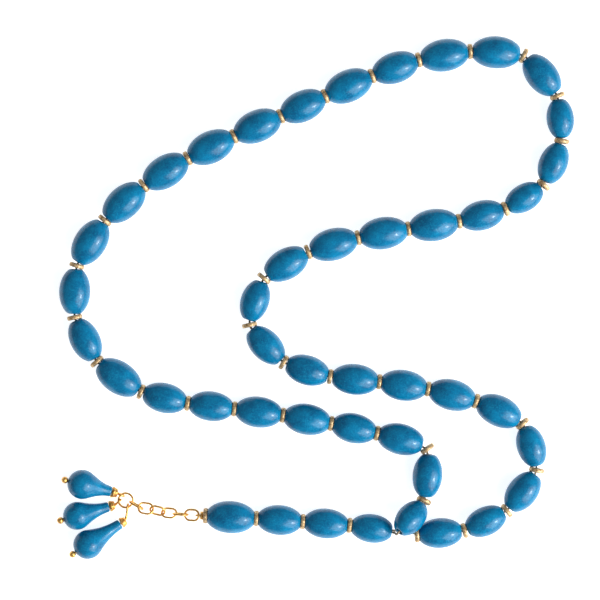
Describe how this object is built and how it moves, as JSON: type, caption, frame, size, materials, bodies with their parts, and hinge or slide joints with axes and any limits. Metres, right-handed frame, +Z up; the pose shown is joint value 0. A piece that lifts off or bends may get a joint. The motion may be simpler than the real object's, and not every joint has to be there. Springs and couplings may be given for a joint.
{
  "type": "prayer beads",
  "caption": "Misbaha: a loop of oval stone beads with gold-tone disc spacers, closed by a short stem, a link chain and a ring that carries teardrop stone drops.",
  "frame": {"origin": "under the middle of the string's box, on the surface that it lies on", "axes": "+Z up from the surface; +Y from the stem towards the far side of the loop; +X across the loop, away from the tassel"},
  "size_m": [0.1396, 0.1414, 0.0112],
  "materials": {
    "bead_stone": "polished, mottled blue",
    "drop_stone": "polished, mottled blue",
    "spacer_metal": "hammered, soft gold tone",
    "fine_metal": "bright gold tone",
    "cord": "twisted, waxed"
  },
  "bodies": {
    "string": {"cord": "cord", "spacers": "spacer_metal", "end_eye": "fine_metal"},
    "link_1": {"chain_link_1": "fine_metal"},
    "link_2": {"chain_link_2": "fine_metal"},
    "link_3": {"chain_link_3": "fine_metal"},
    "link_4": {"chain_link_4": "fine_metal"},
    "links_5_6": {"chain_links_5_6": "fine_metal"},
    "ring": {"tassel_ring": "fine_metal"},
    "drop_1": {"drop_stone_1": "drop_stone", "drop_wire_1": "fine_metal"},
    "drop_2": {"drop_stone_2": "drop_stone", "drop_wire_2": "fine_metal"},
    "drop_3": {"drop_stone_3": "drop_stone", "drop_wire_3": "fine_metal"},
    "stem_bead_4_body": {"stem_bead_4": "bead_stone"},
    "stem_bead_3_body": {"stem_bead_3": "bead_stone"},
    "stem_bead_2_body": {"stem_bead_2": "bead_stone"},
    "stem_bead_1_body": {"stem_bead_1": "bead_stone"},
    "loop_bead_01_body": {"loop_bead_01": "bead_stone"},
    "loop_bead_02_body": {"loop_bead_02": "bead_stone"},
    "loop_bead_03_body": {"loop_bead_03": "bead_stone"},
    "loop_bead_04_body": {"loop_bead_04": "bead_stone"},
    "loop_bead_05_body": {"loop_bead_05": "bead_stone"},
    "loop_bead_06_body": {"loop_bead_06": "bead_stone"},
    "loop_bead_07_body": {"loop_bead_07": "bead_stone"},
    "loop_bead_08_body": {"loop_bead_08": "bead_stone"},
    "loop_bead_09_body": {"loop_bead_09": "bead_stone"},
    "loop_bead_10_body": {"loop_bead_10": "bead_stone"},
    "loop_bead_11_body": {"loop_bead_11": "bead_stone"},
    "loop_bead_12_body": {"loop_bead_12": "bead_stone"},
    "loop_bead_13_body": {"loop_bead_13": "bead_stone"},
    "loop_bead_14_body": {"loop_bead_14": "bead_stone"},
    "loop_bead_15_body": {"loop_bead_15": "bead_stone"},
    "loop_bead_16_body": {"loop_bead_16": "bead_stone"},
    "loop_bead_17_body": {"loop_bead_17": "bead_stone"},
    "loop_bead_18_body": {"loop_bead_18": "bead_stone"},
    "loop_bead_19_body": {"loop_bead_19": "bead_stone"},
    "loop_bead_20_body": {"loop_bead_20": "bead_stone"},
    "loop_bead_21_body": {"loop_bead_21": "bead_stone"},
    "loop_bead_22_body": {"loop_bead_22": "bead_stone"},
    "loop_bead_23_body": {"loop_bead_23": "bead_stone"},
    "loop_bead_24_body": {"loop_bead_24": "bead_stone"},
    "loop_bead_25_body": {"loop_bead_25": "bead_stone"},
    "loop_bead_26_body": {"loop_bead_26": "bead_stone"},
    "loop_bead_27_body": {"loop_bead_27": "bead_stone"},
    "loop_bead_28_body": {"loop_bead_28": "bead_stone"},
    "loop_bead_29_body": {"loop_bead_29": "bead_stone"},
    "loop_bead_30_body": {"loop_bead_30": "bead_stone"},
    "loop_bead_31_body": {"loop_bead_31": "bead_stone"},
    "loop_bead_32_body": {"loop_bead_32": "bead_stone"},
    "loop_bead_33_body": {"loop_bead_33": "bead_stone"},
    "loop_bead_34_body": {"loop_bead_34": "bead_stone"},
    "loop_bead_35_body": {"loop_bead_35": "bead_stone"},
    "loop_bead_36_body": {"loop_bead_36": "bead_stone"},
    "loop_bead_37_body": {"loop_bead_37": "bead_stone"},
    "loop_bead_38_body": {"loop_bead_38": "bead_stone"},
    "loop_bead_39_body": {"loop_bead_39": "bead_stone"},
    "loop_bead_40_body": {"loop_bead_40": "bead_stone"},
    "loop_bead_41_body": {"loop_bead_41": "bead_stone"}
  },
  "joints": [
    {"name": "link_1_swings", "type": "hinge", "parent": "string", "child": "link_1", "pos_m": [-0.03163, -0.05876, 0.00413], "axis": [0, 0, 1], "range_deg": [-20, 20]},
    {"name": "link_2_lifts", "type": "hinge", "parent": "link_1", "child": "link_2", "pos_m": [-0.03545, -0.05869, 0.00296], "axis": [0.0523, 0.9986, 0], "range_deg": [-20, 40]},
    {"name": "link_3_swings", "type": "hinge", "parent": "link_2", "child": "link_3", "pos_m": [-0.03856, -0.0585, 0.002], "axis": [0, 0, 1], "range_deg": [-20, 20]},
    {"name": "link_4_swings", "type": "hinge", "parent": "link_3", "child": "link_4", "pos_m": [-0.04138, -0.05817, 0.00153], "axis": [0, 0, 1], "range_deg": [-15, 15]},
    {"name": "links_5_6_swing", "type": "hinge", "parent": "link_4", "child": "links_5_6", "pos_m": [-0.04453, -0.05733, 0.0016], "axis": [0, 0, 1], "range_deg": [-15, 15]},
    {"name": "ring_lifts", "type": "hinge", "parent": "links_5_6", "child": "ring", "pos_m": [-0.04975, -0.05562, 0.0015], "axis": [0.342, 0.9397, 0], "range_deg": [-15, 40]},
    {"name": "drop_1_swings", "type": "hinge", "parent": "ring", "child": "drop_1", "pos_m": [-0.05284, -0.05346, 0.0015], "axis": [0.3746, 0.9272, 0], "range_deg": [-30, 75]},
    {"name": "drop_2_swings", "type": "hinge", "parent": "ring", "child": "drop_2", "pos_m": [-0.0535, -0.05529, 0.0015], "axis": [0.342, -0.9397, 0], "range_deg": [-75, 30]},
    {"name": "drop_3_swings", "type": "hinge", "parent": "ring", "child": "drop_3", "pos_m": [-0.05108, -0.05684, 0.0015], "axis": [-0.9925, 0.1219, 0], "range_deg": [-30, 40]},
    {"name": "stem_bead_4_spins", "type": "hinge", "parent": "string", "child": "stem_bead_4_body", "pos_m": [0.01509, -0.06229, 0.00396], "axis": [-0.9903, 0.1392, 0], "continuous": true},
    {"name": "stem_bead_3_spins", "type": "hinge", "parent": "string", "child": "stem_bead_3_body", "pos_m": [0.00274, -0.06095, 0.00413], "axis": [-0.9969, 0.0785, 0], "continuous": true},
    {"name": "stem_bead_2_spins", "type": "hinge", "parent": "string", "child": "stem_bead_2_body", "pos_m": [-0.00984, -0.06001, 0.00413], "axis": [-0.9976, 0.0698, 0], "continuous": true},
    {"name": "stem_bead_1_spins", "type": "hinge", "parent": "string", "child": "stem_bead_1_body", "pos_m": [-0.02299, -0.05921, 0.00445], "axis": [-0.9986, 0.0523, 0], "continuous": true},
    {"name": "loop_bead_01_spins", "type": "hinge", "parent": "string", "child": "loop_bead_01_body", "pos_m": [0.02545, -0.05915, 0.00699], "axis": [0.6208, 0.6445, -0.4463], "continuous": true},
    {"name": "loop_bead_02_spins", "type": "hinge", "parent": "string", "child": "loop_bead_02_body", "pos_m": [0.03012, -0.04802, 0.00413], "axis": [0.0982, 0.9952, 0], "continuous": true},
    {"name": "loop_bead_03_spins", "type": "hinge", "parent": "string", "child": "loop_bead_03_body", "pos_m": [0.02289, -0.03815, 0.00429], "axis": [-0.9705, 0.241, 0], "continuous": true},
    {"name": "loop_bead_04_spins", "type": "hinge", "parent": "string", "child": "loop_bead_04_body", "pos_m": [0.01029, -0.03524, 0.00413], "axis": [-0.9783, 0.2074, 0], "continuous": true},
    {"name": "loop_bead_05_spins", "type": "hinge", "parent": "string", "child": "loop_bead_05_body", "pos_m": [-0.00241, -0.03281, 0.00429], "axis": [-0.9855, 0.1696, 0], "continuous": true},
    {"name": "loop_bead_06_spins", "type": "hinge", "parent": "string", "child": "loop_bead_06_body", "pos_m": [-0.01549, -0.03085, 0.00429], "axis": [-0.992, 0.1264, 0], "continuous": true},
    {"name": "loop_bead_07_spins", "type": "hinge", "parent": "string", "child": "loop_bead_07_body", "pos_m": [-0.02828, -0.02928, 0.00413], "axis": [-0.993, 0.1178, 0], "continuous": true},
    {"name": "loop_bead_08_spins", "type": "hinge", "parent": "string", "child": "loop_bead_08_body", "pos_m": [-0.04086, -0.02705, 0.00413], "axis": [-0.973, 0.2307, 0], "continuous": true},
    {"name": "loop_bead_09_spins", "type": "hinge", "parent": "string", "child": "loop_bead_09_body", "pos_m": [-0.05323, -0.0215, 0.00445], "axis": [-0.8281, 0.5606, 0], "continuous": true},
    {"name": "loop_bead_10_spins", "type": "hinge", "parent": "string", "child": "loop_bead_10_body", "pos_m": [-0.06232, -0.01136, 0.00413], "axis": [-0.448, 0.894, 0], "continuous": true},
    {"name": "loop_bead_11_spins", "type": "hinge", "parent": "string", "child": "loop_bead_11_body", "pos_m": [-0.06506, 0.0017, 0.00429], "axis": [0.0406, 0.9992, 0], "continuous": true},
    {"name": "loop_bead_12_spins", "type": "hinge", "parent": "string", "child": "loop_bead_12_body", "pos_m": [-0.06086, 0.01495, 0.00445], "axis": [0.5329, 0.8461, 0], "continuous": true},
    {"name": "loop_bead_13_spins", "type": "hinge", "parent": "string", "child": "loop_bead_13_body", "pos_m": [-0.05177, 0.02569, 0.00445], "axis": [0.7466, 0.6653, 0], "continuous": true},
    {"name": "loop_bead_14_spins", "type": "hinge", "parent": "string", "child": "loop_bead_14_body", "pos_m": [-0.04056, 0.03402, 0.00445], "axis": [0.852, 0.5236, 0], "continuous": true},
    {"name": "loop_bead_15_spins", "type": "hinge", "parent": "string", "child": "loop_bead_15_body", "pos_m": [-0.02836, 0.04063, 0.00445], "axis": [0.9041, 0.4273, 0], "continuous": true},
    {"name": "loop_bead_16_spins", "type": "hinge", "parent": "string", "child": "loop_bead_16_body", "pos_m": [-0.01582, 0.04629, 0.00445], "axis": [0.9188, 0.3946, 0], "continuous": true},
    {"name": "loop_bead_17_spins", "type": "hinge", "parent": "string", "child": "loop_bead_17_body", "pos_m": [-0.0035, 0.05169, 0.00429], "axis": [0.9122, 0.4097, 0], "continuous": true},
    {"name": "loop_bead_18_spins", "type": "hinge", "parent": "string", "child": "loop_bead_18_body", "pos_m": [0.0088, 0.05713, 0.00445], "axis": [0.9171, 0.3987, 0], "continuous": true},
    {"name": "loop_bead_19_spins", "type": "hinge", "parent": "string", "child": "loop_bead_19_body", "pos_m": [0.02141, 0.06207, 0.00429], "axis": [0.9442, 0.3294, 0], "continuous": true},
    {"name": "loop_bead_20_spins", "type": "hinge", "parent": "string", "child": "loop_bead_20_body", "pos_m": [0.03467, 0.06542, 0.00445], "axis": [0.9868, 0.1621, 0], "continuous": true},
    {"name": "loop_bead_21_spins", "type": "hinge", "parent": "string", "child": "loop_bead_21_body", "pos_m": [0.04865, 0.06622, 0.00445], "axis": [0.9988, -0.0483, 0], "continuous": true},
    {"name": "loop_bead_22_spins", "type": "hinge", "parent": "string", "child": "loop_bead_22_body", "pos_m": [0.06099, 0.06012, 0.00429], "axis": [0.63, -0.7766, 0], "continuous": true},
    {"name": "loop_bead_23_spins", "type": "hinge", "parent": "string", "child": "loop_bead_23_body", "pos_m": [0.06603, 0.04838, 0.0038], "axis": [0.089, -0.996, 0], "continuous": true},
    {"name": "loop_bead_24_spins", "type": "hinge", "parent": "string", "child": "loop_bead_24_body", "pos_m": [0.06412, 0.03633, 0.00396], "axis": [-0.3811, -0.9245, 0], "continuous": true},
    {"name": "loop_bead_25_spins", "type": "hinge", "parent": "string", "child": "loop_bead_25_body", "pos_m": [0.05627, 0.02699, 0.0038], "axis": [-0.8538, -0.5206, 0], "continuous": true},
    {"name": "loop_bead_26_spins", "type": "hinge", "parent": "string", "child": "loop_bead_26_body", "pos_m": [0.04483, 0.02222, 0.00413], "axis": [-0.9674, -0.2533, 0], "continuous": true},
    {"name": "loop_bead_27_spins", "type": "hinge", "parent": "string", "child": "loop_bead_27_body", "pos_m": [0.03178, 0.01959, 0.00445], "axis": [-0.9892, -0.1464, 0], "continuous": true},
    {"name": "loop_bead_28_spins", "type": "hinge", "parent": "string", "child": "loop_bead_28_body", "pos_m": [0.01821, 0.01741, 0.00445], "axis": [-0.9854, -0.1701, 0], "continuous": true},
    {"name": "loop_bead_29_spins", "type": "hinge", "parent": "string", "child": "loop_bead_29_body", "pos_m": [0.00468, 0.01436, 0.00445], "axis": [-0.963, -0.2695, 0], "continuous": true},
    {"name": "loop_bead_30_spins", "type": "hinge", "parent": "string", "child": "loop_bead_30_body", "pos_m": [-0.00803, 0.0091, 0.00429], "axis": [-0.8695, -0.4939, 0], "continuous": true},
    {"name": "loop_bead_31_spins", "type": "hinge", "parent": "string", "child": "loop_bead_31_body", "pos_m": [-0.01646, -0.00081, 0.00396], "axis": [-0.317, -0.9484, 0], "continuous": true},
    {"name": "loop_bead_32_spins", "type": "hinge", "parent": "string", "child": "loop_bead_32_body", "pos_m": [-0.01355, -0.0128, 0.00413], "axis": [0.6973, -0.7168, 0], "continuous": true},
    {"name": "loop_bead_33_spins", "type": "hinge", "parent": "string", "child": "loop_bead_33_body", "pos_m": [-0.00237, -0.01954, 0.00413], "axis": [0.9594, -0.2819, 0], "continuous": true},
    {"name": "loop_bead_34_spins", "type": "hinge", "parent": "string", "child": "loop_bead_34_body", "pos_m": [0.01053, -0.02202, 0.00429], "axis": [0.9952, -0.0978, 0], "continuous": true},
    {"name": "loop_bead_35_spins", "type": "hinge", "parent": "string", "child": "loop_bead_35_body", "pos_m": [0.02366, -0.02363, 0.00429], "axis": [0.9893, -0.1458, 0], "continuous": true},
    {"name": "loop_bead_36_spins", "type": "hinge", "parent": "string", "child": "loop_bead_36_body", "pos_m": [0.03671, -0.02621, 0.00429], "axis": [0.9705, -0.2411, 0], "continuous": true},
    {"name": "loop_bead_37_spins", "type": "hinge", "parent": "string", "child": "loop_bead_37_body", "pos_m": [0.04938, -0.03057, 0.00429], "axis": [0.9132, -0.4076, 0], "continuous": true},
    {"name": "loop_bead_38_spins", "type": "hinge", "parent": "string", "child": "loop_bead_38_body", "pos_m": [0.05817, -0.04006, 0.00396], "axis": [0.2992, -0.9542, 0], "continuous": true},
    {"name": "loop_bead_39_spins", "type": "hinge", "parent": "string", "child": "loop_bead_39_body", "pos_m": [0.05579, -0.05236, 0.00413], "axis": [-0.6146, -0.7888, 0], "continuous": true},
    {"name": "loop_bead_40_spins", "type": "hinge", "parent": "string", "child": "loop_bead_40_body", "pos_m": [0.04584, -0.06035, 0.00396], "axis": [-0.9075, -0.4201, 0], "continuous": true},
    {"name": "loop_bead_41_spins", "type": "hinge", "parent": "string", "child": "loop_bead_41_body", "pos_m": [0.03352, -0.06351, 0.00413], "axis": [-0.997, -0.0771, 0], "continuous": true}
  ]
}
